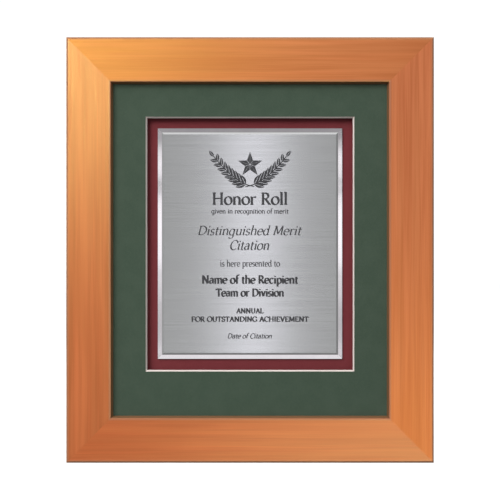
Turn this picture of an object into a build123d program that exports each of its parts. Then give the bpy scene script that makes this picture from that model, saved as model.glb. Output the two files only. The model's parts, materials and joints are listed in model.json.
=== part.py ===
"""A framed award plaque: a flat mitred wooden frame around two mats and a bevelled metal plate.

The front faces -Y, +X is the viewer's right and +Z is up. The origin is the centre of the frame
on the wall plane, where the four rubber bumpers touch the wall. All sizes are in millimetres.
"""

import os
from math import asin, cos, degrees, radians, sin

from build123d import *

INCH = 25.4

# the metal plates
BACKER_W, BACKER_H = 8 * INCH, 10 * INCH  # the polished plate behind the engraved one
BACKER_EDGE, BACKER_T = 0.8, 2.0  # its thickness at the edge and under the engraved plate
RIM_W = 4.6  # the sloped rim that stays in view
ENGRAVED_T = 1.5
ENGRAVED_BEVEL_W, ENGRAVED_BEVEL_D = 2.1, 1.0
PLATE_UP = 7.0  # the plates sit this far above the frame's centre

# the mats and boards
SIGHT_W, SIGHT_H = 12 * INCH, 14.5 * INCH  # the opening that the frame leaves at its face
WINDOW_W, WINDOW_H = 229.2, 280.0  # the mat's window at its coloured face
WINDOW_UP = 6.5  # the window sits this far above the frame's centre, with a deeper border below
TOP_MAT_T, INNER_MAT_T, FILLER_T, BACKING_T = 1.6, 1.5, 3.2, 2.7
SPACER_T, SPACER_W = 6.4, 32.0
BOARD_PLAY = 0.5  # all round, between the boards and the rabbet

# the wooden rails
RAIL_W = 49.2
LIP_D, LIP_SLOPE = 6.6, 2.0  # the lip in front of the mat, and how far its wall slopes in
RABBET_W = INCH / 4
RABBET_D = TOP_MAT_T + SPACER_T + INNER_MAT_T + FILLER_T + BACKING_T
OUTER_EASE, SIGHT_EASE, BACK_EASE = 2.4, 1.8, 0.6  # radii that soften the rails' long edges

# the adhesive strips
PLATE_TAPE_W, PLATE_TAPE_H, PLATE_TAPE_T = 25.0, 220.0, 0.3
BACKER_TAPE_W, BACKER_TAPE_H, BACKER_TAPE_T = 25.0, 226.0, 0.8
PLATE_TAPE_PITCH, BACKER_TAPE_PITCH = 60.0, 54.0

# the corner fasteners
V_NAIL_T, V_NAIL_WING, V_NAIL_H = 0.6, 5.0, 10.0
V_NAIL_INSETS = (10.0, 33.0)  # of each V's point, from both outer edges

# the screws, which are all alike above the surface
SHANK_R, HEAD_R, HEAD_H, HEAD_EASE = 1.5, 3.0, 1.8, 0.9
SCREW_IN_WOOD, TIP_L, TIP_R = 10.0, 3.0, 0.3
PILOT_PLAY = 0.05
RECESS_L, RECESS_W, RECESS_D = 3.0, 0.7, 1.0

# the turn buttons that hold the boards in
BUTTON_T, BUTTON_GAP = 1.2, 0.1
BUTTON_PIVOT_R, BUTTON_TIP_R, BUTTON_REACH = 6.0, 4.0, 20.0
BUTTON_BORE_R = SHANK_R + 0.07
BUTTON_RIB_L, BUTTON_RIB_W, BUTTON_RIB_H = 10.0, 2.6, 0.6
BUTTON_EASE, RIB_EASE = 0.3, 0.25
BUTTON_SETBACK = 10.0  # from the rabbet's wall out to the pivot
BUTTON_SIDE_Z = 60.0

# the ring hangers
RING_WIRE_R, RING_HALF_W, RING_SIDE, RING_CORNER_R = 1.15, 9.0, 5.0, 2.5
RING_SLIT = 0.4  # where the bent wire's ends meet, inside the strap's loop
RING_REST_GAP = 0.15
STRAP_W, STRAP_T, STRAP_L, STRAP_END_R, STRAP_WEB = 12.7, 1.0, 12.0, 5.0, 4.3
LOOP_BORE_R = RING_WIRE_R + 0.05
LOOP_R = LOOP_BORE_R + STRAP_T
HANGER_Z = 112.0
HANGER_SCREW_DROP = 7.6  # below the ring's bar

# the wall bumpers
BUMPER_H, BUMPER_BASE_R, BUMPER_TOP_R, BUMPER_EASE = 5.1, 6.35, 5.2, 1.0
BUMPER_INSET = 22.0  # from both outer edges

OUTER_W, OUTER_H = SIGHT_W + 2 * RAIL_W, SIGHT_H + 2 * RAIL_W
BOARD_W = SIGHT_W + 2 * (RABBET_W - BOARD_PLAY)
BOARD_H = SIGHT_H + 2 * (RABBET_W - BOARD_PLAY)
BACK_FACE_W = RAIL_W - RABBET_W

# the layers, from the wall at Y = 0 forwards, which is towards -Y
BACK_Y = -BUMPER_H
LIP_Y = BACK_Y - RABBET_D
FRONT_Y = LIP_Y - LIP_D
BACKING_Y = BACK_Y - BACKING_T
FILLER_Y = BACKING_Y - FILLER_T
INNER_MAT_Y = FILLER_Y - INNER_MAT_T
BACKER_BACK_Y = INNER_MAT_Y - BACKER_TAPE_T
BACKER_Y = BACKER_BACK_Y - BACKER_T
ENGRAVED_BACK_Y = BACKER_Y - PLATE_TAPE_T

finished = []


def keep(piece, label):
    """Name a finished sub-part and put it with the others."""
    piece.part.label = label
    finished.append(piece.part)


def face_plane(y, x=0.0, z=0.0):
    """A plane that faces the viewer, with its local Y up and its local Z towards the front."""
    return Plane(origin=(x, y, z), x_dir=(1, 0, 0), z_dir=(0, -1, 0))


def back_plane(x, y, z, inward=(-1, 0, 0)):
    """A plane that faces the wall, with its local X along inward and its local Z backwards."""
    return Plane(origin=(x, y, z), x_dir=inward, z_dir=(0, 1, 0))


# corner fasteners: V-shaped nails driven into the mitres from behind, their points outwards
with BuildPart() as v_nails:
    for side in (-1, 1):
        for end in (-1, 1):
            for inset in V_NAIL_INSETS:
                x, z = side * (OUTER_W / 2 - inset), end * (OUTER_H / 2 - inset)
                with BuildSketch(face_plane(BACK_Y, x, z)):
                    with Locations((-side * V_NAIL_WING / 2, -end * V_NAIL_T / 2)):
                        Rectangle(V_NAIL_WING, V_NAIL_T)
                    with Locations((-side * V_NAIL_T / 2, -end * V_NAIL_WING / 2)):
                        Rectangle(V_NAIL_T, V_NAIL_WING)
                extrude(amount=V_NAIL_H)
keep(v_nails, "corner_v_nails")


# the places of the turn buttons and hangers on the frame's back
PIVOT_X = SIGHT_W / 2 + RABBET_W + BUTTON_SETBACK
PIVOT_Z = SIGHT_H / 2 + RABBET_W + BUTTON_SETBACK
HANGER_X = OUTER_W / 2 - BACK_FACE_W / 2
BUTTONS = {
    "left_upper": ((-PIVOT_X, BUTTON_SIDE_Z), (1, 0, 0)),
    "left_lower": ((-PIVOT_X, -BUTTON_SIDE_Z), (1, 0, 0)),
    "right_upper": ((PIVOT_X, BUTTON_SIDE_Z), (-1, 0, 0)),
    "right_lower": ((PIVOT_X, -BUTTON_SIDE_Z), (-1, 0, 0)),
    "top": ((0, PIVOT_Z), (0, 0, -1)),
    "bottom": ((0, -PIVOT_Z), (0, 0, 1)),
}
HANGERS = {"left": -HANGER_X, "right": HANGER_X}
BUTTON_SCREWS = [place for place, _ in BUTTONS.values()]
HANGER_SCREWS = [(x, HANGER_Z - HANGER_SCREW_DROP) for x in HANGERS.values()]


def build_rail(length, reach, turn):
    """One mitred rail, built as the top one and then turned about Y to its side of the frame."""
    outer, sight = reach, reach - RAIL_W
    with BuildPart() as rail:
        with BuildSketch(Plane.YZ.offset(-length / 2)):
            with BuildLine():
                Polyline(
                    (BACK_Y, outer),
                    (FRONT_Y, outer),
                    (FRONT_Y, sight),
                    (LIP_Y, sight - LIP_SLOPE),
                    (LIP_Y, sight + RABBET_W),
                    (BACK_Y, sight + RABBET_W),
                    close=True,
                )
            make_face()
        extrude(amount=length)
        for depth_rank, reach_rank, radius in (
            (0, -1, OUTER_EASE),
            (0, 0, SIGHT_EASE),
            (-1, -1, BACK_EASE),
        ):
            level = rail.edges().filter_by(Axis.X).group_by(Axis.Y)[depth_rank]
            fillet(level.sort_by(Axis.Z)[reach_rank], radius)
        for end in (-1, 1):
            corner = Plane(origin=(end * length / 2, 0, reach), z_dir=(end, 0, -1))
            split(bisect_by=corner, keep=Keep.BOTTOM)
    turned = rail.part.rotate(Axis.Y, turn)
    with BuildPart() as fitted:
        add(turned)
        add(v_nails.part, mode=Mode.SUBTRACT)
        for x, z in BUTTON_SCREWS + HANGER_SCREWS:
            with BuildSketch(face_plane(BACK_Y, x, z)):
                Circle(SHANK_R + PILOT_PLAY)
            extrude(amount=SCREW_IN_WOOD, mode=Mode.SUBTRACT)
    return fitted


keep(build_rail(OUTER_W, OUTER_H / 2, 0), "frame_rail_top")
keep(build_rail(OUTER_H, OUTER_W / 2, 90), "frame_rail_right")
keep(build_rail(OUTER_W, OUTER_H / 2, 180), "frame_rail_bottom")
keep(build_rail(OUTER_H, OUTER_W / 2, 270), "frame_rail_left")


# top mat: a thick board whose window is cut at 45 degrees, wider at its coloured face
with BuildPart() as top_mat:
    with BuildSketch(face_plane(LIP_Y + TOP_MAT_T)):
        Rectangle(BOARD_W, BOARD_H)
    extrude(amount=TOP_MAT_T)
    with BuildSketch(face_plane(LIP_Y, z=WINDOW_UP)):
        Rectangle(WINDOW_W, WINDOW_H)
    with BuildSketch(face_plane(LIP_Y + TOP_MAT_T, z=WINDOW_UP)):
        Rectangle(WINDOW_W - 2 * TOP_MAT_T, WINDOW_H - 2 * TOP_MAT_T)
    loft(ruled=True, mode=Mode.SUBTRACT)
keep(top_mat, "top_mat")


# spacers: four foam strips that hold the top mat away from the inner one
SPACER_PLACES = {
    "top": (0, (BOARD_H - SPACER_W) / 2, BOARD_W, SPACER_W),
    "bottom": (0, -(BOARD_H - SPACER_W) / 2, BOARD_W, SPACER_W),
    "left": (-(BOARD_W - SPACER_W) / 2, 0, SPACER_W, BOARD_H - 2 * SPACER_W),
    "right": ((BOARD_W - SPACER_W) / 2, 0, SPACER_W, BOARD_H - 2 * SPACER_W),
}
for side, (x, z, width, height) in SPACER_PLACES.items():
    with BuildPart() as spacer:
        with BuildSketch(face_plane(INNER_MAT_Y, x, z)):
            Rectangle(width, height)
        extrude(amount=SPACER_T)
    keep(spacer, f"mat_spacer_{side}")


# whole boards: the inner mat that the plate is stuck to, a filler board and a hard backing
for label, rear_y, thickness in (
    ("inner_mat", FILLER_Y, INNER_MAT_T),
    ("filler_board", BACKING_Y, FILLER_T),
    ("backing_board", BACK_Y, BACKING_T),
):
    with BuildPart() as board:
        with BuildSketch(face_plane(rear_y)):
            Rectangle(BOARD_W, BOARD_H)
        extrude(amount=thickness)
    keep(board, label)


def build_plate(width, height, rear_y, edge, thickness, slope_w):
    """A plate with straight edges and then a sloped rim that rises to its flat front."""
    with BuildPart() as plate:
        with BuildSketch(face_plane(rear_y, z=PLATE_UP)):
            Rectangle(width, height)
        extrude(amount=edge)
        with BuildSketch(face_plane(rear_y - edge, z=PLATE_UP)):
            Rectangle(width, height)
        with BuildSketch(face_plane(rear_y - thickness, z=PLATE_UP)):
            Rectangle(width - 2 * slope_w, height - 2 * slope_w)
        loft(ruled=True)
    return plate


keep(
    build_plate(BACKER_W, BACKER_H, BACKER_BACK_Y, BACKER_EDGE, BACKER_T, RIM_W),
    "plate_backer",
)
keep(
    build_plate(
        BACKER_W - 2 * RIM_W,
        BACKER_H - 2 * RIM_W,
        ENGRAVED_BACK_Y,
        ENGRAVED_T - ENGRAVED_BEVEL_D,
        ENGRAVED_T,
        ENGRAVED_BEVEL_W,
    ),
    "engraved_plate",
)


# double-sided tape: thin strips under the engraved plate, foam ones under its backer
for label, rear_y, width, height, thickness, pitch, count in (
    ("plate_tape", BACKER_Y, PLATE_TAPE_W, PLATE_TAPE_H, PLATE_TAPE_T, PLATE_TAPE_PITCH, 3),
    ("backer_tape", INNER_MAT_Y, BACKER_TAPE_W, BACKER_TAPE_H, BACKER_TAPE_T, BACKER_TAPE_PITCH, 4),
):
    with BuildPart() as tape:
        with BuildSketch(face_plane(rear_y, z=PLATE_UP)):
            with GridLocations(pitch, 1, count, 1):
                Rectangle(width, height)
        extrude(amount=thickness)
    keep(tape, label)


def build_screws(places, seat_y):
    """Pan-head screws with a cross recess, driven into the rails from behind."""
    head_y, tip_y = seat_y + HEAD_H, BACK_Y - SCREW_IN_WOOD
    with BuildPart() as screws:
        for x, z in places:
            with BuildSketch(back_plane(x, seat_y, z)):
                Circle(HEAD_R)
            extrude(amount=HEAD_H)
            with BuildSketch(face_plane(seat_y, x, z)):
                Circle(SHANK_R)
            extrude(amount=seat_y - tip_y - TIP_L)
            with BuildSketch(face_plane(tip_y + TIP_L, x, z)):
                Circle(SHANK_R)
            with BuildSketch(face_plane(tip_y, x, z)):
                Circle(TIP_R)
            loft(ruled=True)
        rims = screws.edges().filter_by(GeomType.CIRCLE).group_by(Axis.Y)[-1]
        fillet(rims, HEAD_EASE)
        for x, z in places:
            with BuildSketch(face_plane(head_y, x, z)):
                Rectangle(RECESS_L, RECESS_W)
                Rectangle(RECESS_W, RECESS_L)
            extrude(amount=RECESS_D, mode=Mode.SUBTRACT)
    return screws


BUTTON_Y = BACK_Y + BUTTON_GAP
keep(build_screws(BUTTON_SCREWS, BUTTON_Y + BUTTON_T + BUTTON_GAP), "turn_button_screws")
keep(build_screws(HANGER_SCREWS, BACK_Y + STRAP_T), "hanger_screws")


# turn buttons: stamped steel, each turning on its screw, with a pressed rib along the arm
for side, ((x, z), inward) in BUTTONS.items():
    with BuildPart() as button:
        with BuildSketch(back_plane(x, BUTTON_Y, z, inward)):
            Circle(BUTTON_PIVOT_R)
            with Locations((BUTTON_REACH, 0)):
                Circle(BUTTON_TIP_R)
            make_hull()
            Circle(BUTTON_BORE_R, mode=Mode.SUBTRACT)
        extrude(amount=BUTTON_T)
        outline = button.faces().sort_by(Axis.Y)[-1].outer_wire().edges()
        fillet(outline, BUTTON_EASE)
        with BuildSketch(back_plane(x, BUTTON_Y + BUTTON_T, z, inward)):
            with Locations(((BUTTON_REACH + BUTTON_PIVOT_R) / 2, 0)):
                SlotOverall(BUTTON_RIB_L, BUTTON_RIB_W)
        extrude(amount=BUTTON_RIB_H)
        fillet(button.faces().sort_by(Axis.Y)[-1].edges(), RIB_EASE)
    keep(button, f"turn_button_{side}")


# ring hangers: the ring leans on the frame's back at rest, upright, where a wall hook holds it
BAR_Y = BACK_Y + LOOP_R
RING_L = RING_SIDE + RING_HALF_W
LEAN = asin((LOOP_R - RING_WIRE_R - RING_REST_GAP) / RING_L)
for side, x in HANGERS.items():
    with BuildPart() as strap:
        with BuildSketch(Plane.YZ.offset(x - STRAP_W / 2)):
            with BuildLine():
                Polyline(
                    (BACK_Y, HANGER_Z),
                    (BACK_Y, HANGER_Z - STRAP_L),
                    (BACK_Y + STRAP_T, HANGER_Z - STRAP_L),
                    (BACK_Y + STRAP_T, HANGER_Z - STRAP_WEB),
                    (BAR_Y + LOOP_R * cos(radians(45)), HANGER_Z - LOOP_R * sin(radians(45))),
                    (BAR_Y, HANGER_Z),
                    close=True,
                )
            make_face()
            with Locations((BAR_Y, HANGER_Z)):
                Circle(LOOP_R)
                Circle(LOOP_BORE_R, mode=Mode.SUBTRACT)
        extrude(amount=STRAP_W)
        ends = strap.edges().filter_by(Axis.Y).group_by(Axis.Z)[0]
        fillet(ends, STRAP_END_R)
        with BuildSketch(back_plane(x, BACK_Y, HANGER_Z - HANGER_SCREW_DROP)):
            Circle(SHANK_R + PILOT_PLAY)
        extrude(amount=STRAP_T, mode=Mode.SUBTRACT)
    keep(strap, f"hanger_strap_{side}")

    with BuildPart() as ring:
        lean_plane = Plane(
            origin=(x, BAR_Y, HANGER_Z), x_dir=(1, 0, 0), z_dir=(0, -cos(LEAN), -sin(LEAN))
        )
        with BuildLine(lean_plane) as wire:
            half_slit, corner = RING_SLIT / 2, RING_HALF_W - RING_CORNER_R
            bar_right = Line((half_slit, 0), (corner, 0))
            turn_right = JernArc(bar_right @ 1, bar_right % 1, RING_CORNER_R, 90)
            side_right = Line(turn_right @ 1, (RING_HALF_W, RING_SIDE))
            crown = JernArc(side_right @ 1, side_right % 1, RING_HALF_W, 180)
            side_left = Line(crown @ 1, (-RING_HALF_W, RING_CORNER_R))
            turn_left = JernArc(side_left @ 1, side_left % 1, RING_CORNER_R, 90)
            Line(turn_left @ 1, (-half_slit, 0))
        with BuildSketch(Plane(origin=wire.line @ 0, z_dir=wire.line % 0)):
            Circle(RING_WIRE_R)
        sweep(path=wire.line)
    keep(ring, f"hanger_ring_{side}")


# wall bumpers: soft tapered feet stuck over the mitres, whose flat ends are the wall plane
for x_name, x_side in (("left", -1), ("right", 1)):
    for z_name, z_side in (("top", 1), ("bottom", -1)):
        x = x_side * (OUTER_W / 2 - BUMPER_INSET)
        z = z_side * (OUTER_H / 2 - BUMPER_INSET)
        with BuildPart() as bumper:
            with BuildSketch(back_plane(x, BACK_Y, z)):
                Circle(BUMPER_BASE_R)
            with BuildSketch(back_plane(x, 0, z)):
                Circle(BUMPER_TOP_R)
            loft(ruled=True)
            fillet(bumper.faces().sort_by(Axis.Y)[-1].edges(), BUMPER_EASE)
        keep(bumper, f"wall_bumper_{z_name}_{x_name}")


os.makedirs("parts", exist_ok=True)
for part in finished:
    export_step(part, f"parts/{part.label}.step")
print(f"{len(finished)} sub-parts, {OUTER_W:.1f} x {OUTER_H:.1f} x {-FRONT_Y:.1f} mm")
print(f"ring lean {degrees(LEAN):.2f} degrees, ring bar at Y {BAR_Y:.2f}, Z {HANGER_Z:.1f}")
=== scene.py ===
"""The looks of a framed award plaque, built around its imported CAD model. Sizes are in metres."""

import json
import math

import bmesh
import bpy
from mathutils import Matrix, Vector


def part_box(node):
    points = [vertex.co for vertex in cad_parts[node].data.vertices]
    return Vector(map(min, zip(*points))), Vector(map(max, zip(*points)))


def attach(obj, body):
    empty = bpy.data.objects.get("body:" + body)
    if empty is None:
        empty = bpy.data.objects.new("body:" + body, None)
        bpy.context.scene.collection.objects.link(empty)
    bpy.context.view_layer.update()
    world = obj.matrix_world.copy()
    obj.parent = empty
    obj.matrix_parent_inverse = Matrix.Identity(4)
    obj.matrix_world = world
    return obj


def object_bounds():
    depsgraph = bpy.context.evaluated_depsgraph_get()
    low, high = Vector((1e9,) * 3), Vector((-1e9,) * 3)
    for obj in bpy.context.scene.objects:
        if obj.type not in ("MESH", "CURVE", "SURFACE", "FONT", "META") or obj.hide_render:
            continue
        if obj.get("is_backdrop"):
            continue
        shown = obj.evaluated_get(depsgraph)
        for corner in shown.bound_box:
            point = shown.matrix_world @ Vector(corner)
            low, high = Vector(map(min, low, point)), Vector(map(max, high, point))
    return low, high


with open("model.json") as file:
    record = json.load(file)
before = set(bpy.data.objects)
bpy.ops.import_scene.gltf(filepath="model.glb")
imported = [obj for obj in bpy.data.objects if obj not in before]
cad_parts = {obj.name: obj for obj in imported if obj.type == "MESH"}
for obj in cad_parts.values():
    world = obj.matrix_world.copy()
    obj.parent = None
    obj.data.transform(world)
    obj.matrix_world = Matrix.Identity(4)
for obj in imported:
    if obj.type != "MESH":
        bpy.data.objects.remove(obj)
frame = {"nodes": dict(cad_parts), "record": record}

CAD_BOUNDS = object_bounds()
MM = 0.001

# the front faces -Y; these are the places that everything else is worked out from
RAIL_LOW, RAIL_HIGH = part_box("frame_rail_right")
LIP_SLOPE = 2.0 * MM  # how far the lip's wall slopes in behind the rail's face
RAIL_W = RAIL_HIGH[0] - RAIL_LOW[0] - LIP_SLOPE
OUTER_X, OUTER_Z = RAIL_HIGH[0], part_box("frame_rail_top")[1][2]
FRONT_Y = RAIL_LOW[1]
BACK_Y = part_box("backing_board")[1][1]
PLATE_LOW, PLATE_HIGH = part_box("engraved_plate")
PLATE_FACE_Y = PLATE_LOW[1]
PLATE_MID_Z = (PLATE_LOW[2] + PLATE_HIGH[2]) / 2

# the camera looks straight at the frame's face through a long lens
LENS_MM, SENSOR_MM = 135.0, 36.0
VIEW_W = 0.5477  # the width that the picture takes in at the frame's face
CAMERA_Y = FRONT_Y - VIEW_W * LENS_MM / SENSOR_MM
CLIP_END = 50.0

# the floor reaches this far each way, and glows this much to stay white; so does the backdrop
FLOOR_HALF, FLOOR_GLOW = 12.0, 0.78
BACKDROP_GLOW = 1.05

# the even light's strength by the sine of its elevation
AMBIENT = ((-1.0, 0.15), (-0.55, 0.25), (0.0, 0.35), (0.55, 0.34), (0.85, 0.80), (1.0, 0.90))
SIDE_DIMMING = (0.45, 0.75, 1.0, 0.62)  # from X 0.45 to X 0.75 it falls from all to 0.62 of that
MATT_AMBIENT = 0.7  # of that light's strength on matt surfaces, which the key lights more

# the CAD nodes that some lights are for
LIT = {
    "rails": ("frame_rail_top", "frame_rail_right", "frame_rail_bottom", "frame_rail_left"),
    "left_rail": ("frame_rail_left",),
    "top_rail": ("frame_rail_top",),
    "plates": ("plate_backer", "engraved_plate"),
}

# the softboxes: name, place, size, radiance and what is different about each
SOFTBOXES = (
    ("key", (-1.5, -1.9, 1.65), (1.6, 1.6), 9.5, {"glossy": False}),
    ("floor_wash", (0, -1.4, 2.4), (3.0, 3.0), 1.06, {"glossy": False, "target": (0, -1.4, 0)}),
    ("bounce", (0.3, -1.6, -1.5), (1.5, 1.5), 0.45, {"glossy": False}),
    ("back_key", (1.2, 1.9, 1.5), (1.1, 1.1), 13.0, {}),
    ("back_fill", (-1.6, 1.3, 0.5), (1.2, 1.2), 5.0, {}),
    ("side_fill", (2.2, -0.25, 0.6), (1.0, 1.0), 2.0, {"glossy": False}),
)

# the panel that the brushed plate shows as a bright upright band: name, place, size, radiance
STRIP = ("plate_strip", (0.005, -2.05, 0), (0.10, 1.6), 0.95)
STRIP_COLOUR = (1.0, 0.98, 1.09)

# panels that only the shine of some pieces shows: name, place, size, radiance and whose shine
PANELS = (
    ("sheen_left", (-0.44, -2.0, 0.49), (0.42, 0.46), 24.0, "left_rail"),
    ("sheen_top", (-0.44, -2.0, 0.52), (0.4, 0.4), 23.5, "top_rail"),
    ("sheen_lower_right", (0.52, -2.0, -0.62), (1.05, 0.8), 5.3, "rails"),
    ("low_panel", (0, -1.33, -0.86), (0.9, 0.36), 0.60, "plates"),
    ("floor_glint_right", (1.7, -1.0, -1.3), (1.8, 1.4), 0.32, "plates"),
    ("floor_glint_left", (-1.7, -1.0, -1.3), (1.8, 1.4), 0.32, "plates"),
)

# a column of panels at each side makes the changing brightness of the polished plate's rim: their
# common places and width, and then each one's name, middle's height, own height and radiance
RIM_X, RIM_Y, RIM_W = 0.85, -1.41, 0.30
RIM_PANELS = (
    ("rim_spot", 0.169, 0.062, 0.74),
    ("rim_band", 0.040, 0.14, 0.80),
    ("rim_fade", -0.065, 0.07, 0.20),
    ("rim_fill", -0.11, 0.16, 0.22),
    ("rim_foot", -0.20, 0.03, 0.50),
)
RIM_SIDES = {"left": (-1, 1.0), "right": (1, 1.10)}  # which way from the middle, and its gain


def add_object(name, data):
    """Put new data in the scene as an object."""
    obj = bpy.data.objects.new(name, data)
    bpy.context.scene.collection.objects.link(obj)
    return obj


def grey(value):
    """A neutral colour."""
    return (value, value, value, 1)


# ---------------------------------------------------------------- nodes


class Nodes:
    """The node tree of a material or a world, with short calls for the nodes used here."""

    def __init__(self, owner):
        owner.use_nodes = True
        self.tree = owner.node_tree
        self.tree.nodes.clear()

    def node(self, kind, inputs=None, **settings):
        """Add a node. An input is a value, or another node's output socket."""
        made = self.tree.nodes.new("ShaderNode" + kind)
        for name, value in settings.items():
            setattr(made, name, value)
        for name, value in (inputs or {}).items():
            if isinstance(value, bpy.types.NodeSocket):
                self.tree.links.new(value, made.inputs[name])
            else:
                made.inputs[name].default_value = value
        return made

    def axes(self, vector):
        """A vector's three numbers."""
        return self.node("SeparateXYZ", {0: vector}).outputs

    def maths(self, operation, *values):
        """One Math node."""
        made = self.node("Math", dict(enumerate(values)), operation=operation)
        return made.outputs[0]


class Recipe(Nodes):
    """A node material of the Principled shader."""

    def __init__(self, name):
        self.material = bpy.data.materials.new(name)
        super().__init__(self.material)

    def surface(self, inputs):
        """The Principled shader, wired to the material's output."""
        shader = self.node("BsdfPrincipled", inputs)
        self.node("OutputMaterial", {"Surface": shader.outputs[0]})

    def place(self):
        """The point in the frame's axes, in metres."""
        return self.node("TexCoord").outputs["Object"]

    def facing(self):
        """How squarely the face looks to the front: 1 straight ahead, 0 sideways, -1 behind."""
        normal = self.node("NewGeometry").outputs["True Normal"]
        return self.maths("MULTIPLY", self.axes(normal)[1], -1.0)

    def step(self, value, low, high, to_low=0.0, to_high=1.0):
        """A smooth step of a number, from to_low at low to to_high at high."""
        inputs = {"Value": value, 1: low, 2: high, 3: to_low, 4: to_high}
        return self.node("MapRange", inputs, interpolation_type="SMOOTHSTEP").outputs[0]

    def noise(self, scales, detail=3.0, roughness=0.55, shift=0.0):
        """Noise whose frequency differs along the three axes, per metre."""
        moved = self.node(
            "Mapping", {"Vector": self.place(), "Location": (shift,) * 3, "Scale": scales}
        )
        inputs = {"Vector": moved.outputs[0], "Scale": 1.0, "Detail": detail, "Roughness": roughness}
        return self.node("TexNoise", inputs).outputs["Fac"]

    def mix(self, factor, first, second, blend="MIX"):
        """Mix two colours. A Mix node's colours are its inputs 6 and 7 and its output 2."""
        settings = {"data_type": "RGBA", "blend_type": blend, "clamp_factor": True}
        return self.node("Mix", {0: factor, 6: first, 7: second}, **settings).outputs[2]

    def bump(self, height, depth, strength=1.0):
        """Bump from a height number, where 1 stands for depth metres."""
        inputs = {"Height": height, "Distance": depth, "Strength": strength}
        return self.node("Bump", inputs).outputs[0]


# ---------------------------------------------------------------- camera, floor and light


def make_camera():
    """A straight-on view of the whole plaque, with some floor and backdrop round it."""
    data = bpy.data.cameras.new("camera")
    data.lens = LENS_MM
    data.sensor_width = SENSOR_MM
    data.clip_end = CLIP_END
    camera = add_object("camera", data)
    camera.location = (0, CAMERA_Y, 0)
    camera.rotation_euler = (math.pi / 2, 0, 0)
    bpy.context.scene.camera = camera


def light_group(name):
    """The CAD nodes that a light is for, as a collection."""
    group = bpy.data.collections.new(f"lit_{name}")
    for node in LIT[name]:
        group.objects.link(frame["nodes"][node])
    return group


def area_light(
    name, place, size, radiance, diffuse=True, glossy=True, group=None, target=None, colour=(1, 1, 1)
):
    """A rectangular softbox of that radiance, which may light only matt or shiny surfaces."""
    data = bpy.data.lights.new(name, "AREA")
    data.shape = "RECTANGLE"
    data.size, data.size_y = size
    data.energy = radiance * math.pi * size[0] * size[1]
    data.color = colour
    light = add_object(name, data)
    light.location = place
    aim = Vector(target or (0, FRONT_Y, 0)) - Vector(place)
    light.rotation_euler = aim.to_track_quat("-Z", "Y").to_euler()
    light.visible_camera = False
    light.visible_diffuse = diffuse
    light.visible_glossy = glossy
    if group:
        light.light_linking.receiver_collection = group


def make_world():
    """A white backdrop to the camera, and a dimmer light from all round, brightest overhead."""
    world = bpy.data.worlds.new("studio")
    bpy.context.scene.world = world
    sky = Nodes(world)
    rays = sky.node("LightPath").outputs
    x, _, z = sky.axes(sky.node("TexCoord").outputs["Generated"])
    ramp = sky.node("ValToRGB", {0: sky.maths("MULTIPLY_ADD", z, 0.5, 0.5)})
    stops = ramp.color_ramp.elements
    for index, (sine, strength) in enumerate(AMBIENT):
        stop = stops[index] if index < 2 else stops.new(1.0)  # a new ramp has two stops
        stop.position = 0.5 + 0.5 * sine
        stop.color = grey(strength)
    side = sky.node("MapRange", dict(enumerate((x, *SIDE_DIMMING)))).outputs[0]
    matt = sky.maths("MULTIPLY_ADD", rays["Is Diffuse Ray"], MATT_AMBIENT - 1, 1)
    strength = sky.maths("MULTIPLY", side, matt)
    dim = sky.node("Background", {"Color": ramp.outputs["Color"], "Strength": strength})
    white = sky.node("Background", {"Color": grey(1), "Strength": BACKDROP_GLOW})
    by_ray = {0: rays["Is Camera Ray"], 1: dim.outputs[0], 2: white.outputs[0]}
    sky.node("OutputWorld", {"Surface": sky.node("MixShader", by_ray).outputs[0]})


def make_lights():
    """A large soft key from the upper left, and panels that only the shiny surfaces show."""
    groups = {name: light_group(name) for name in LIT}
    for name, place, size, radiance, settings in SOFTBOXES:
        area_light(name, place, size, radiance, **settings)
    area_light(*STRIP, diffuse=False, group=groups["plates"], colour=STRIP_COLOUR)
    for name, place, size, radiance, lit in PANELS:
        area_light(name, place, size, radiance, diffuse=False, group=groups[lit])
    for name, z, height, radiance in RIM_PANELS:
        for side, (sign, gain) in RIM_SIDES.items():
            place, size = (sign * RIM_X, RIM_Y, z), (RIM_W, height)
            panel = (f"{name}_{side}", place, size, radiance * gain)
            area_light(*panel, diffuse=False, group=groups["plates"])


def make_floor():
    """A plain pale floor that the frame's bottom edge stands on. It glows a little, to stay white."""
    mesh = bpy.data.meshes.new("floor")
    half, z = FLOOR_HALF, -OUTER_Z
    corners = [(-half, -half, z), (half, -half, z), (half, half, z), (-half, half, z)]
    mesh.from_pydata(corners, [], [(0, 1, 2, 3)])
    floor = add_object("floor", mesh)
    floor.visible_diffuse = False
    floor.visible_glossy = False
    floor.visible_shadow = False
    recipe = Recipe("floor_paint")
    recipe.surface(
        {
            "Base Color": grey(0.6),
            "Roughness": 0.9,
            "Specular IOR Level": 0.1,
            "Emission Color": grey(1.0),
            "Emission Strength": FLOOR_GLOW,
        }
    )
    mesh.materials.append(recipe.material)
    floor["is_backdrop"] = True


# ---------------------------------------------------------------- materials


# each rail's tone beside the common stain: partly the sticks' own, partly painted light for how brightly
# and in what hue the lights fall on that rail; its sheen's colour; and how strong its fine streaks and
# its wider bands are
RAIL_TONES = {
    "top": ((1.035, 1.26, 1.78), (1.0, 0.60, 0.08), 0.75, 0.05),
    "right": ((1.09, 1.46, 2.05), (1.0, 0.36, 0.02), 0.45, 0.04),
    "bottom": ((1.08, 0.98, 1.0), (1.0, 0.75, 0.30), 0.70, 0.06),
    "left": ((0.925, 0.78, 0.92), (1.0, 0.745, 0.24), 0.80, 0.07),
}

# the common stain: between and on the fibres, in the fine streaks, and in the broadest bands
FIBRE_STAINS = (0.465, 0.098, 0.030), (0.525, 0.120, 0.038)
STREAK_STAIN, BROAD_STAIN = (0.595, 0.155, 0.049), (0.43, 0.090, 0.026)
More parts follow.
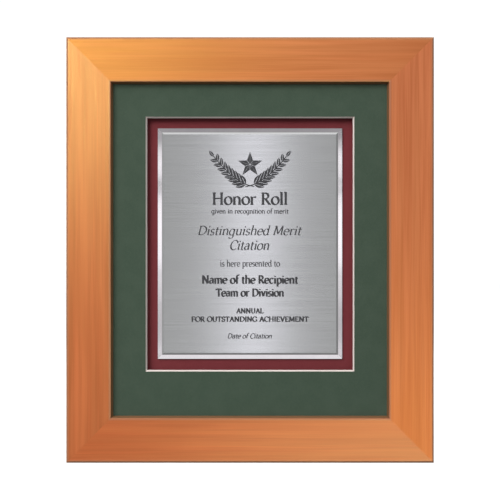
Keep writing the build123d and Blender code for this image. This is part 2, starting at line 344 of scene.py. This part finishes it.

# painted light on the face: a greyer band along its outer edge and its sight edge for the sheen and
# shade of their eased edges, and dark painted shade where an edge turns and inside the lip; the back is
# bare, in two tones
EDGE_SHEEN, SIGHT_SHEEN_AND_SHADE = (0.41, 0.20, 0.12, 1), (0.35, 0.17, 0.115, 1)
TURNED_SHADE, LIP_SHADE = (0.17, 0.070, 0.032, 1), (0.20, 0.092, 0.042, 1)
BARE_WOOD = (0.50, 0.33, 0.18, 1), (0.66, 0.47, 0.28, 1)

# where these come in: from and to an inset from the outer edge, and for the bare back, a depth
EDGE_FADE = 0.8 * MM, 4.2 * MM
SIGHT_FADE = RAIL_W - 3.2 * MM, RAIL_W - 1.2 * MM
LIP_FADE = RAIL_W - 0.5 * MM, RAIL_W - 0.1 * MM
BACK_FADE = BACK_Y - 0.6 * MM, BACK_Y - 0.2 * MM

# the mats' papers, each in two tones, and the white core with its layers
GREEN_PAPER = (0.0545, 0.084, 0.0585, 1), (0.0765, 0.109, 0.078, 1)
BURGUNDY_PAPER = (0.178, 0.0335, 0.039, 1), (0.205, 0.041, 0.0475, 1)
MAT_CORE = (0.66, 0.58, 0.54, 1), (0.74, 0.65, 0.61, 1)

# the metals, each in two tones, and the brushed plate's bevel
BRUSHED = (0.823, 0.835, 0.838, 1), (0.887, 0.899, 0.902, 1)
BRUSHED_BEVEL = (0.88, 0.885, 0.89, 1)
# painted reflection: the polished metal's pink-lilac tint stands for the burgundy board that it reflects
POLISHED = (0.865, 0.825, 0.865, 1), (0.905, 0.865, 0.90, 1)
ZINC = (0.52, 0.51, 0.49, 1), (0.66, 0.65, 0.63, 1)
NICKEL = (0.62, 0.58, 0.50, 1), (0.74, 0.70, 0.62, 1)

# hardboard: its dark and light fibres, and the shade of its darker clouds
HARDBOARD = (0.115, 0.058, 0.028, 1), (0.26, 0.15, 0.078, 1)
HARDBOARD_CLOUD = (0.16, 0.085, 0.04, 1)

# the engraving's dark filling, in two tones
INK = (0.045, 0.045, 0.05, 1), (0.075, 0.075, 0.08, 1)


def rail_material(side):
    """One rail: satin copper-gold stain over straight grain that runs along it."""
    recipe = Recipe(f"rail_wood_{side}")
    is_level = side in ("top", "bottom")
    tone, sheen, streaking, banding = RAIL_TONES[side]

    def stain(colour):
        """The common stain in this rail's tone, which holds painted light in part."""
        return (*(part * scale for part, scale in zip(colour, tone)), 1)

    def grain(run, cross, **settings):
        """Noise that differs along and across the rail."""
        scales = (run, cross, cross) if is_level else (cross, cross, run)
        return recipe.noise(scales, **settings)

    fibres = grain(14.0, 900.0, detail=2.0)
    streaks = grain(5.0, 240.0, detail=3.0, shift=4.0)
    bands = grain(3.0, 95.0, detail=2.0, shift=14.0)
    broad = grain(4.0, 18.0, detail=2.0, shift=9.0)
    copper = recipe.mix(recipe.step(fibres, 0.3, 0.7), *map(stain, FIBRE_STAINS))
    in_streak = recipe.step(streaks, 0.38, 0.66, 0.0, streaking)
    copper = recipe.mix(in_streak, copper, stain(STREAK_STAIN))
    in_broad = recipe.step(broad, 0.42, 0.68, 0.0, 0.5)
    copper = recipe.mix(in_broad, copper, stain(BROAD_STAIN))
    tint = recipe.mix(recipe.step(bands, 0.38, 0.62), grey(1 - banding), grey(1 + banding))
    copper = recipe.mix(1.0, copper, tint, "MULTIPLY")

    x, y, z = recipe.axes(recipe.place())
    facing = recipe.facing()
    from_x = recipe.maths("SUBTRACT", OUTER_X, recipe.maths("ABSOLUTE", x))
    from_z = recipe.maths("SUBTRACT", OUTER_Z, recipe.maths("ABSOLUTE", z))
    inset = recipe.maths("MINIMUM", from_x, from_z)  # from the nearest outer edge inwards

    # painted sheen: the face turns greyer just inside its outer edge, for the light that its eased edge
    # catches
    near_edge = recipe.maths(
        "MULTIPLY", recipe.step(inset, *EDGE_FADE, 0.8, 0.0), recipe.step(facing, 0.1, 0.4)
    )
    stain_sheen_and_shade = recipe.mix(near_edge, copper, EDGE_SHEEN)
    # painted sheen and shade: a greyer, duller band along the sight edge, for how light falls on its
    # ease
    near_sight = recipe.step(inset, *SIGHT_FADE, 0.0, 0.6)
    stain_sheen_and_shade = recipe.mix(near_sight, stain_sheen_and_shade, SIGHT_SHEEN_AND_SHADE)
    # painted shade: dark where the face's edges round over and turn away from the light
    turned = recipe.maths(
        "MULTIPLY", recipe.step(facing, 0.55, 0.97, 0.75, 0.0), recipe.step(facing, 0.05, 0.45)
    )
    stain_sheen_and_shade = recipe.mix(turned, stain_sheen_and_shade, TURNED_SHADE)
    # painted shade: dark on the lip's inner wall, in the recess that lies in shadow
    in_lip = recipe.maths(
        "MULTIPLY", recipe.step(inset, *LIP_FADE), recipe.step(facing, 0.85, 0.5)
    )
    stain_sheen_and_shade = recipe.mix(in_lip, stain_sheen_and_shade, LIP_SHADE)

    bare = recipe.mix(recipe.step(streaks, 0.35, 0.65), *BARE_WOOD)
    recipe.surface(
        {
            "Base Color": recipe.mix(recipe.step(y, *BACK_FADE), stain_sheen_and_shade, bare),
            "Roughness": recipe.step(fibres, 0.2, 0.8, 0.28, 0.36),
            "Specular IOR Level": 1.0,
            "Specular Tint": (*sheen, 1),
            "Normal": recipe.bump(fibres, 0.06 * MM, 0.5),
        }
    )
    return recipe.material


def mat_material(name, face, tone):
    """Mat board: coloured face paper, with the white core at its cut edges and its back."""
    recipe = Recipe(name)
    tooth = recipe.noise((1400.0,) * 3, detail=3.0)
    fibres = recipe.noise((420.0, 420.0, 260.0), detail=3.0, roughness=0.65, shift=7.0)
    cloud = recipe.noise((60.0,) * 3, detail=3.0, shift=3.0)
    paper = recipe.mix(recipe.step(tooth, 0.3, 0.7, 0.0, 0.6), face, tone)
    paper = recipe.mix(recipe.step(fibres, 0.35, 0.65), recipe.mix(0.5, paper, face), paper)
    paper = recipe.mix(recipe.step(cloud, 0.35, 0.7, 0.0, 0.35), paper, tone)
    layers = recipe.noise((40.0, 3000.0, 40.0), detail=1.0)
    core = recipe.mix(recipe.step(layers, 0.35, 0.65), *MAT_CORE)
    recipe.surface(
        {
            "Base Color": recipe.mix(recipe.step(recipe.facing(), 0.85, 0.95), core, paper),
            "Roughness": 0.85,
            "Specular IOR Level": 0.25,
            "Normal": recipe.bump(tooth, 0.05 * MM, 0.6),
        }
    )
    return recipe.material


def foam_material(name):
    """White foam board, very slightly beaded."""
    recipe = Recipe(name)
    beads = recipe.noise((900.0,) * 3, detail=2.0)
    colour = recipe.mix(recipe.step(beads, 0.3, 0.7), grey(0.78), grey(0.86))
    recipe.surface(
        {"Base Color": colour, "Roughness": 0.75, "Normal": recipe.bump(beads, 0.1 * MM, 0.4)}
    )
    return recipe.material


def hardboard_material(name):
    """Pressed fibre board: brown, with fine flecks of lighter and darker fibre."""
    recipe = Recipe(name)
    flecks = recipe.noise((520.0,) * 3, detail=4.0, roughness=0.7)
    cloud = recipe.noise((22.0,) * 3, detail=3.0, shift=5.0)
    colour = recipe.mix(recipe.step(flecks, 0.36, 0.66), *HARDBOARD)
    colour = recipe.mix(recipe.step(cloud, 0.35, 0.7, 0.0, 0.35), colour, HARDBOARD_CLOUD)
    recipe.surface(
        {
            "Base Color": colour,
            "Roughness": recipe.step(flecks, 0.3, 0.7, 0.48, 0.62),
            "Normal": recipe.bump(flecks, 0.08 * MM, 0.5),
        }
    )
    return recipe.material


def tape_material(name):
    """White foam tape, slightly dimpled."""
    recipe = Recipe(name)
    dimples = recipe.noise((1500.0,) * 3, detail=2.0)
    colour = recipe.mix(recipe.step(dimples, 0.3, 0.7), grey(0.62), grey(0.74))
    recipe.surface(
        {"Base Color": colour, "Roughness": 0.8, "Normal": recipe.bump(dimples, 0.05 * MM, 0.5)}
    )
    return recipe.material


def brushed_material(name):
    """Aluminium brushed in fine level lines, so a light in front shows as an upright band."""
    recipe = Recipe(name)
    fine = recipe.noise((14.0, 3200.0, 3200.0), detail=2.0)
    lines = recipe.noise((16.0, 900.0, 900.0), detail=2.0, roughness=0.6, shift=6.0)
    both = recipe.maths(
        "ADD", recipe.maths("MULTIPLY", fine, 0.4), recipe.maths("MULTIPLY", lines, 0.6)
    )
    bevel = recipe.step(recipe.facing(), 0.93, 0.97, 1.0, 0.0)
    colour = recipe.mix(recipe.step(both, 0.36, 0.64), *BRUSHED)
    colour = recipe.mix(bevel, colour, BRUSHED_BEVEL)
    tangent = recipe.node("Tangent", direction_type="RADIAL", axis="X").outputs[0]
    recipe.surface(
        {
            "Base Color": colour,
            "Metallic": 1.0,
            "Roughness": recipe.step(bevel, 0.0, 1.0, 0.25, 0.13),
            "Anisotropic": 0.95,
            "Tangent": tangent,
            "Normal": recipe.bump(both, 0.004 * MM, 0.14),
        }
    )
    return recipe.material


def polished_material(name):
    """Bright polished aluminium with the faintest haze, tinted pink-lilac as a painted reflection of the
    burgundy board.
    """
    recipe = Recipe(name)
    haze = recipe.noise((90.0,) * 3, detail=3.0)
    colour = recipe.mix(recipe.step(haze, 0.3, 0.7), *POLISHED)
    recipe.surface(
        {
            "Base Color": colour,
            "Metallic": 1.0,
            "Roughness": recipe.step(haze, 0.3, 0.7, 0.07, 0.10),
        }
    )
    return recipe.material


def plated_material(name, dull, bright, rough):
    """Plated steel hardware with faint mottling and fine scuffs."""
    recipe = Recipe(name)
    mottle = recipe.noise((700.0,) * 3, detail=3.0)
    scuffs = recipe.noise((2600.0, 500.0, 2600.0), detail=2.0, shift=2.0)
    colour = recipe.mix(recipe.step(mottle, 0.35, 0.65), dull, bright)
    recipe.surface(
        {
            "Base Color": colour,
            "Metallic": 1.0,
            "Roughness": recipe.step(mottle, 0.3, 0.7, rough, rough + 0.12),
            "Normal": recipe.bump(scuffs, 0.01 * MM, 0.4),
        }
    )
    return recipe.material


def rubber_material(name):
    """Matt black rubber with a fine moulded grain."""
    recipe = Recipe(name)
    grain = recipe.noise((2200.0,) * 3, detail=2.0)
    colour = recipe.mix(recipe.step(grain, 0.3, 0.7), grey(0.018), grey(0.035))
    recipe.surface(
        {"Base Color": colour, "Roughness": 0.65, "Normal": recipe.bump(grain, 0.04 * MM, 0.5)}
    )
    return recipe.material


def ink_material(name):
    """Dark filling of the engraved marks, slightly uneven."""
    recipe = Recipe(name)
    patch = recipe.noise((600.0,) * 3, detail=3.0)
    colour = recipe.mix(recipe.step(patch, 0.3, 0.7), *INK)
    recipe.surface({"Base Color": colour, "Roughness": 0.6, "Specular IOR Level": 0.3})
    return recipe.material


def paint(node, material):
    """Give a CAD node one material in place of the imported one."""
    obj = frame["nodes"][node]
    obj.data.materials.clear()
    obj.data.materials.append(material)


def paint_all():
    """Every CAD node's material, by its slot in the record, and each rail's own."""
    zinc = plated_material("zinc_plate", *ZINC, 0.28)
    nickel = plated_material("nickel_plate", *NICKEL, 0.18)
    by_slot = {
        "green_mat": mat_material("green_mat", *GREEN_PAPER),
        "burgundy_mat": mat_material("burgundy_mat", *BURGUNDY_PAPER),
        "foam_board": foam_material("foam_board"),
        "hardboard": hardboard_material("hardboard"),
        "polished_metal": polished_material("polished_metal"),
        "brushed_metal": brushed_material("brushed_metal"),
        "tape": tape_material("tape"),
        "fastener_steel": zinc,
        "turn_button_steel": zinc,
        "hanger_steel": nickel,
        "bumper_rubber": rubber_material("bumper_rubber"),
    }
    rails = {f"frame_rail_{side}": rail_material(side) for side in RAIL_TONES}
    for part in frame["record"]["subparts"]:
        node, slot = part["node"], part["material_slot"]
        paint(node, rails.get(node) or by_slot[slot])


# ---------------------------------------------------------------- the inscription


# letters are drawn with a broad pen, on a grid where a capital is 1 high
X_HEIGHT, ASCENT, DESCENT = 0.66, 1.06, -0.36
PEN_TILT = math.radians(20)
SERIF_L, SERIF_T = 0.115, 0.05
SPACE_W = 0.34
DOT_LEAN, DOT_REACH = 0.01, 0.065  # from the middle of an i's dot to its stroke's end
ARC_STEP = 12  # degrees from one point of a curve to the next
SAME_POINT = 1e-6  # a stroke whose ends are nearer than this is a ring

# a slanted letter leans about this height, and each of its half serifs rises by this
SLANT, SLANT_PIVOT, HALF_SERIF_RISE = 0.24, 0.4, 0.06

# a pen is as wide across its tilt, and as thin along it, as this
BOLD, HEAVY, BLACK = (0.21, 0.09), (0.27, 0.12), (0.31, 0.14)
MEDIUM, LIGHT, ITALIC = (0.20, 0.13), (0.16, 0.085), (0.16, 0.06)

# the lines: name, words, width, baseline and cap line from the plate's middle in mm, pen, slant
LINES = (
    ("heading", "Honor Roll", 83.5, 43.0, 56.0, BOLD, 0),
    ("subheading", "given in recognition of merit", 85.0, 33.3, 38.3, MEDIUM, 0),
    ("title_upper", "Distinguished Merit", 114.0, 9.4, 19.6, ITALIC, SLANT),
    ("title_lower", "Citation", 44.0, -6.9, 3.6, ITALIC, SLANT),
    ("leading", "is here presented to", 66.0, -25.1, -18.3, LIGHT, 0),
    ("name_upper", "Name of the Recipient", 106.0, -43.8, -35.1, HEAVY, 0),
    ("name_lower", "Team or Division", 75.0, -58.0, -49.7, HEAVY, 0),
    ("reason_upper", "ANNUAL", 30.0, -76.6, -71.3, BLACK, 0),
    ("reason_lower", "FOR OUTSTANDING ACHIEVEMENT", 129.0, -85.8, -80.4, BLACK, 0),
    ("date", "Date of Citation", 49.0, -104.3, -98.9, MEDIUM, SLANT),
)

# the emblem, in mm from the plate's middle: the laurel's branches, which rise faster towards
# their tips, and their leaves, which start this far along and get smaller by this share
BRANCH_START_X, BRANCH_W, BRANCH_Z, BRANCH_H = -5.0, 45.0, 63.0, 33.0
BRANCH_RISE, BRANCH_STEPS, STALK_W = 1.7, 24, 1.1
LEAF_START, LEAF_SHRINK, LEAF_PAIRS, LEAF_TURN = 0.22, 0.3, 8, math.radians(40)
LEAF_L, LEAF_W, LEAF_RIB, LEAF_TIP, LEAF_STEPS = 11.5, 4.6, 0.4, 0.06, 10
LEAF_BELLY, LEAF_FULLNESS = 0.85, 0.9  # how near its base it is widest, and how full it is
BEHIND = 0.01  # a branch's direction at a leaf is taken from this share of it before

# the star's height, its radii, its facets, and their size beside what they would fill
STAR_Z, STAR_OUTER, STAR_INNER, STAR_FACETS, FACET_SIZE = 87.0, 14.5, 5.8, 10, 0.95

# the filling sinks into the plate and stands just proud. One stroke stands a hair higher than the
# last, and starts low again after the ninth, so that strokes that cross don't share a face.
INK_SINK, INK_RISE, INK_STEP, INK_STEPS = 0.02 * MM, 0.03 * MM, 0.002 * MM, 9


def arc(x, z, half_w, half_h, start, end):
    """Points along an ellipse, by angle in degrees anticlockwise from its right."""
    count = max(4, round(abs(end - start) / ARC_STEP))
    turns = [math.radians(start + (end - start) * i / count) for i in range(count + 1)]
    return [(x + half_w * math.cos(turn), z + half_h * math.sin(turn)) for turn in turns]


def foot(x, z=0.0, left=1.0, right=1.0):
    """A serif that stands on the line at z."""
    return ("serif", x, z, left, right, 1)


def head(x, z, left=1.0, right=0.0):
    """A serif that hangs from the line at z."""
    return ("serif", x, z, left, right, -1)


def stem(x, low, high):
    """An upright stroke."""
    return [(x, low), (x, high)]


def capital_stem(x):
    """A capital's upright with serifs at both ends."""
    return [stem(x, 0, 1), foot(x), head(x, 1, 1, 1)]


def small_stem(x, high, low=0.0):
    """A small letter's upright with its serifs."""
    return [stem(x, low, high), head(x, high), foot(x, low)]


def arch(left, right, spring=0.42):
    """From a stem over to the right and down to the line."""
    middle, half = (left + right) / 2, (right - left) / 2
    return arc(middle, spring, half, X_HEIGHT - spring, 172, 0) + [(right, 0)]


def arched(high, *legs):
    """An upright and the arches that lead from it to each leg, as in h, n and m."""
    strokes = small_stem(0.14, high)
    for left, right in zip((0.14, *legs), legs):
        strokes += [arch(left, right), foot(right)]
    return strokes


def stem_bar(left, right):
    """The crossbar of f and t, just under the small letters' height."""
    return [(left, X_HEIGHT - 0.03), (right, X_HEIGHT - 0.03)]


def letters():
    """Each letter's advance and its strokes, on a grid where a capital is 1 high."""
    mid = X_HEIGHT / 2
    back_bowl = arc(0.28, mid, 0.22, mid, 48, 312)
    upper_arms = [
        [(0.15, 0.97), (0.53, 0.97)],
        [(0.53, 0.99), (0.55, 0.82)],
        [(0.15, 0.52), (0.46, 0.52)],
        [(0.46, 0.60), (0.46, 0.44)],
    ]
    return {
        " ": (SPACE_W, []),
        "a": (
            0.58,
            [
                arc(0.26, 0.46, 0.17, 0.20, 155, 0) + [(0.43, 0.03)],
                [(0.43, 0.39)] + arc(0.24, 0.20, 0.17, 0.19, 90, 270) + [(0.43, 0.12)],
                foot(0.43, left=0),
            ],
        ),
        "c": (0.54, [arc(0.29, mid, 0.23, mid, 42, 318)]),
        "d": (0.64, [back_bowl, stem(0.48, 0, ASCENT), head(0.48, ASCENT), foot(0.48, left=0)]),
        "e": (0.57, [[(0.07, 0.35), (0.51, 0.35)], arc(0.29, mid, 0.23, mid, 4, 318)]),
        "f": (
            0.40,
            [arc(0.34, 0.87, 0.16, 0.19, 45, 180) + [(0.18, 0)], stem_bar(0.04, 0.37), foot(0.18)],
        ),
        "g": (
            0.62,
            [
                back_bowl,
                [(0.48, X_HEIGHT), (0.48, -0.14)] + arc(0.28, -0.15, 0.20, 0.20, 0, -150),
                head(0.48, X_HEIGHT, 0, 1),
            ],
        ),
        "h": (0.67, arched(ASCENT, 0.52)),
        "i": (0.31, [*small_stem(0.15, X_HEIGHT), ("dot", 0.15, 0.90)]),
        "l": (0.31, small_stem(0.15, ASCENT)),
        "m": (1.00, arched(X_HEIGHT, 0.50, 0.86)),
        "n": (0.67, arched(X_HEIGHT, 0.52)),
        "o": (0.62, [arc(0.31, mid, 0.25, mid, 0, 360)]),
        "p": (
            0.64,
            [*small_stem(0.14, X_HEIGHT, DESCENT), arc(0.34, mid, 0.22, mid, 132, -132)],
        ),
        "r": (0.47, [*small_stem(0.14, X_HEIGHT), arc(0.32, 0.44, 0.18, 0.20, 170, 48)]),
        "s": (
            0.46,
            [arc(0.23, 0.485, 0.14, 0.165, 25, 270)[:-1] + arc(0.23, 0.16, 0.16, 0.16, 90, -155)],
        ),
        "t": (
            0.40,
            [[(0.17, 0.84), (0.17, 0.14)] + arc(0.29, 0.14, 0.12, 0.13, 180, 300), stem_bar(0.04, 0.36)],
        ),
        "u": (
            0.67,
            [
                [(0.14, X_HEIGHT), (0.14, 0.24)] + arc(0.33, 0.24, 0.19, 0.23, 180, 352),
                head(0.14, X_HEIGHT),
                stem(0.52, 0, X_HEIGHT),
                head(0.52, X_HEIGHT),
                foot(0.52, left=0),
            ],
        ),
        "v": (
            0.58,
            [
                [(0.08, X_HEIGHT), (0.30, 0)],
                [(0.29, 0), (0.50, X_HEIGHT)],
                head(0.08, X_HEIGHT, 1, 1),
                head(0.50, X_HEIGHT, 0.8, 0.8),
            ],
        ),
        "A": (
            0.78,
            [
                [(0.10, 0), (0.39, 1)],
                [(0.38, 1), (0.68, 0)],
                [(0.20, 0.36), (0.57, 0.36)],
                foot(0.10),
                foot(0.68),
            ],
        ),
        "C": (0.76, [arc(0.44, 0.5, 0.36, 0.5, 46, 314), [(0.69, 0.70), (0.69, 0.90)]]),
        "D": (
            0.86,
            [
                *capital_stem(0.15),
                [(0.15, 0.97)] + arc(0.33, 0.5, 0.44, 0.47, 90, -90) + [(0.15, 0.03)],
            ],
        ),
        "E": (
            0.66,
            [
                *capital_stem(0.15),
                *upper_arms,
                [(0.15, 0.03), (0.56, 0.03)],
                [(0.56, 0.01), (0.59, 0.20)],
            ],
        ),
        "F": (0.62, [*capital_stem(0.15), *upper_arms]),
        "G": (
            0.84,
            [
                arc(0.44, 0.5, 0.36, 0.5, 46, 322),
                [(0.69, 0.70), (0.69, 0.90)],
                [(0.70, 0.10), (0.70, 0.40)],
                head(0.70, 0.42, 1, 1),
            ],
        ),
        "H": (0.88, [*capital_stem(0.16), *capital_stem(0.70), [(0.16, 0.52), (0.70, 0.52)]]),
        "I": (0.36, capital_stem(0.17)),
        "L": (0.62, [*capital_stem(0.15), [(0.15, 0.03), (0.54, 0.03)], [(0.54, 0.01), (0.57, 0.20)]]),
        "M": (
            1.00,
            [
                [(0.14, 0), (0.18, 1)],
                [(0.18, 1), (0.50, 0.10)],
                [(0.49, 0.10), (0.80, 1)],
                [(0.80, 1), (0.84, 0)],
                foot(0.14),
                foot(0.84),
                head(0.16, 1, 1, 0),
                head(0.82, 1, 0, 1),
            ],
        ),
        "N": (
            0.88,
            [
                stem(0.15, 0, 1),
                [(0.15, 1), (0.70, 0)],
                stem(0.70, 0, 1),
                foot(0.15),
                head(0.15, 1, 1, 0),
                head(0.70, 1, 1, 1),
            ],
        ),
        "O": (0.88, [arc(0.44, 0.5, 0.37, 0.5, 0, 360)]),
        "R": (
            0.74,
            [
                *capital_stem(0.15),
                [(0.15, 0.97)] + arc(0.30, 0.73, 0.24, 0.24, 90, -90) + [(0.15, 0.49)],
                [(0.33, 0.49), (0.62, 0.02)],
                foot(0.62, 0, 0, 1),
            ],
        ),
        "S": (
            0.60,
            [
                arc(0.30, 0.745, 0.19, 0.235, 28, 270)[:-1] + arc(0.30, 0.255, 0.22, 0.255, 90, -155),
                [(0.49, 0.72), (0.49, 0.92)],
                [(0.09, 0.08), (0.09, 0.28)],
            ],
        ),
        "T": (
            0.72,
            [
                stem(0.36, 0, 1),
                foot(0.36),
                [(0.06, 0.97), (0.66, 0.97)],
                [(0.07, 0.99), (0.05, 0.80)],
                [(0.65, 0.99), (0.67, 0.80)],
            ],
        ),
        "U": (
            0.82,
            [
                [(0.16, 1), (0.16, 0.32)] + arc(0.41, 0.32, 0.25, 0.31, 180, 360) + [(0.66, 1)],
                head(0.16, 1, 1, 1),
                head(0.66, 1, 1, 1),
            ],
        ),
        "V": (
            0.78,
            [
                [(0.10, 1), (0.40, 0)],
                [(0.39, 0), (0.68, 1)],
                head(0.10, 1, 1, 1),
                head(0.68, 1, 1, 1),
            ],
        ),
    }


def ribbon(points, pen):
    """The pen's two edges along a path. The pen is wide across its tilt and thin along it."""
    wide, thin = pen
    closed = math.dist(points[0], points[-1]) < SAME_POINT
    count = len(points) - 1 if closed else len(points)
    left, right = [], []
    for i in range(count):
        before = points[(i - 1) % count] if closed else points[max(i - 1, 0)]
        after = points[(i + 1) % count] if closed else points[min(i + 1, count - 1)]
        dx, dz = after[0] - before[0], after[1] - before[1]
        length = math.hypot(dx, dz)
        dx, dz = dx / length, dz / length
        across = dz * math.cos(PEN_TILT) - dx * math.sin(PEN_TILT)
        along = dx * math.cos(PEN_TILT) + dz * math.sin(PEN_TILT)
        half = math.hypot(wide * across, thin * along) / 2
        x, z = points[i]
        left.append((x - dz * half, z + dx * half))
        right.append((x + dz * half, z - dx * half))
    return left, right, closed


def letter_strokes(items, italic):
    """The paths of one letter, with its serifs as half strokes where it is italic."""
    for item in items:
        if item[0] == "serif":
            _, x, z, left, right, up = item
            if italic:
                left, right = (0, right or left) if up > 0 else (left or right, 0)
            rise = HALF_SERIF_RISE * up if italic else 0.0
            z += up * SERIF_T / 2
            start = (x - left * SERIF_L, z + (rise if left else 0))
            end = (x + right * SERIF_L, z + (rise if right else 0))
            yield [start, end]
        elif item[0] == "dot":
            _, x, z = item
            yield [(x - DOT_LEAN, z - DOT_REACH), (x + DOT_LEAN, z + DOT_REACH)]
        else:
            yield item


def line_strokes(alphabet, words, width, slant):
    """The paths of a whole line in cap heights, centred, and as wide as asked."""
    stretch = width / sum(alphabet[letter][0] for letter in words)
    start = -width / 2
    for letter in words:
        advance, items = alphabet[letter]
        for path in letter_strokes(items, slant > 0):
            yield [(start + (x + slant * (z - SLANT_PIVOT)) * stretch, z) for x, z in path]
        start += advance * stretch


def add_slab(mesh, left, right, closed, rise):
    """A thin solid on the plate between two edges, which are points from the plate's middle."""
    front, rear = PLATE_FACE_Y - rise, PLATE_FACE_Y + INK_SINK
    rows = []
    for y, edge in ((front, left), (front, right), (rear, right), (rear, left)):
        rows.append([mesh.verts.new((x, y, PLATE_MID_Z + z)) for x, z in edge])
    count = len(left)
    for index in range(count if closed else count - 1):
        after = (index + 1) % count
        for row, beside in zip(rows, rows[1:] + rows[:1]):
            mesh.faces.new((row[index], row[after], beside[after], beside[index]))
    if not closed:
        mesh.faces.new([row[0] for row in rows])
        mesh.faces.new([row[-1] for row in rows])


def add_engraving(name, slabs, ink):
    """One object from the slabs (left edge, right edge, whether it closes) of an inscription's part."""
    mesh = bmesh.new()
    for index, (left, right, closed) in enumerate(slabs):
        add_slab(mesh, left, right, closed, INK_RISE + INK_STEP * (index % INK_STEPS))
    bmesh.ops.recalc_face_normals(mesh, faces=mesh.faces)
    data = bpy.data.meshes.new(name)
    mesh.to_mesh(data)
    mesh.free()
    data.materials.append(ink)
    obj = add_object(name, data)
    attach(obj, "frame")


def in_metres(points):
    """Points in mm, in metres."""
    return [(x * MM, z * MM) for x, z in points]


def text_slabs(alphabet, words, width, low, high, pen, slant):
    """The slabs of one line of lettering."""
    cap = high - low
    for path in line_strokes(alphabet, words, width / cap, slant):
        left, right, closed = ribbon(path, pen)
        left, right = [[(x * cap, low + z * cap) for x, z in edge] for edge in (left, right)]
        yield in_metres(left), in_metres(right), closed


def leaf_slabs(base, heading, length, width):
    """A pointed leaf in two halves, with the plate showing along its midrib."""
    ahead = (math.cos(heading), math.sin(heading))
    for side in (1, -1):
        inner, outer = [], []
        for step in range(LEAF_STEPS + 1):
            t = step / LEAF_STEPS
            x, z = base[0] + ahead[0] * length * t, base[1] + ahead[1] * length * t
            bulge = math.sin(math.pi * t**LEAF_BELLY) ** LEAF_FULLNESS
            swell = LEAF_RIB / 2 + LEAF_TIP + width / 2 * bulge
            for edge, reach in ((inner, LEAF_RIB / 2), (outer, swell)):
                edge.append((x - ahead[1] * side * reach, z + ahead[0] * side * reach))
        yield in_metres(inner), in_metres(outer), False


def branch_point(side, t):
    """A point of a laurel branch in mm from the plate's middle, from its cut end at 0 to its tip."""
    return side * (BRANCH_START_X + BRANCH_W * t), BRANCH_Z + BRANCH_H * t**BRANCH_RISE


def branch_slabs(side):
    """A laurel branch: its stalk, pairs of leaves that get smaller, and one leaf at its tip."""
    path = [branch_point(side, step / BRANCH_STEPS) for step in range(BRANCH_STEPS + 1)]
    left, right, closed = ribbon(path, (STALK_W, STALK_W))
    yield in_metres(left), in_metres(right), closed
    for index in range(LEAF_PAIRS + 1):
        t = LEAF_START + (1 - LEAF_START) * index / LEAF_PAIRS
        base, before = branch_point(side, t), branch_point(side, t - BEHIND)
        ahead = math.atan2(base[1] - before[1], base[0] - before[0])
        size = 1.0 - LEAF_SHRINK * index / LEAF_PAIRS
        turns = (0.0,) if index == LEAF_PAIRS else (LEAF_TURN, -LEAF_TURN)
        for turn in turns:
            yield from leaf_slabs(base, ahead + turn, LEAF_L * size, LEAF_W * size)


def star_slabs():
    """A five-pointed star of ten facets, split by fine lines from its middle to its points."""
    hub = (0.0, STAR_Z)
    for index in range(STAR_FACETS):
        far = [(STAR_OUTER if (index + end) % 2 == 0 else STAR_INNER) for end in (0, 1)]
        turns = [math.radians(90 + 360 / STAR_FACETS * (index + end)) for end in (0, 1)]
        tips = [(r * math.cos(a), STAR_Z + r * math.sin(a)) for r, a in zip(far, turns)]
        mid_x, mid_z = sum(x for x, _ in tips) / 3, (sum(z for _, z in tips) + STAR_Z) / 3
        middle, first, second = [
            (mid_x + (x - mid_x) * FACET_SIZE, mid_z + (z - mid_z) * FACET_SIZE)
            for x, z in (hub, *tips)
        ]
        yield in_metres([middle, first]), in_metres([middle, second]), False


def make_inscription():
    """Generic award wording in the places of a plate's usual lines, under a laurel and a star."""
    ink = ink_material("engraving_fill")
    alphabet = letters()
    for name, *settings in LINES:
        add_engraving(f"inscription_{name}", text_slabs(alphabet, *settings), ink)
    for name, side in (("left", -1), ("right", 1)):
        add_engraving(f"laurel_{name}", branch_slabs(side), ink)
    add_engraving("star", star_slabs(), ink)


# ---------------------------------------------------------------- put it together

bpy.context.scene.view_settings.view_transform = "Standard"
make_camera()
make_world()
make_lights()
make_floor()
paint_all()
make_inscription()

sizes = {"cad": CAD_BOUNDS, "visual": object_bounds()}
{key: [list(map(float, corner)) for corner in box] for key, box in sizes.items()}
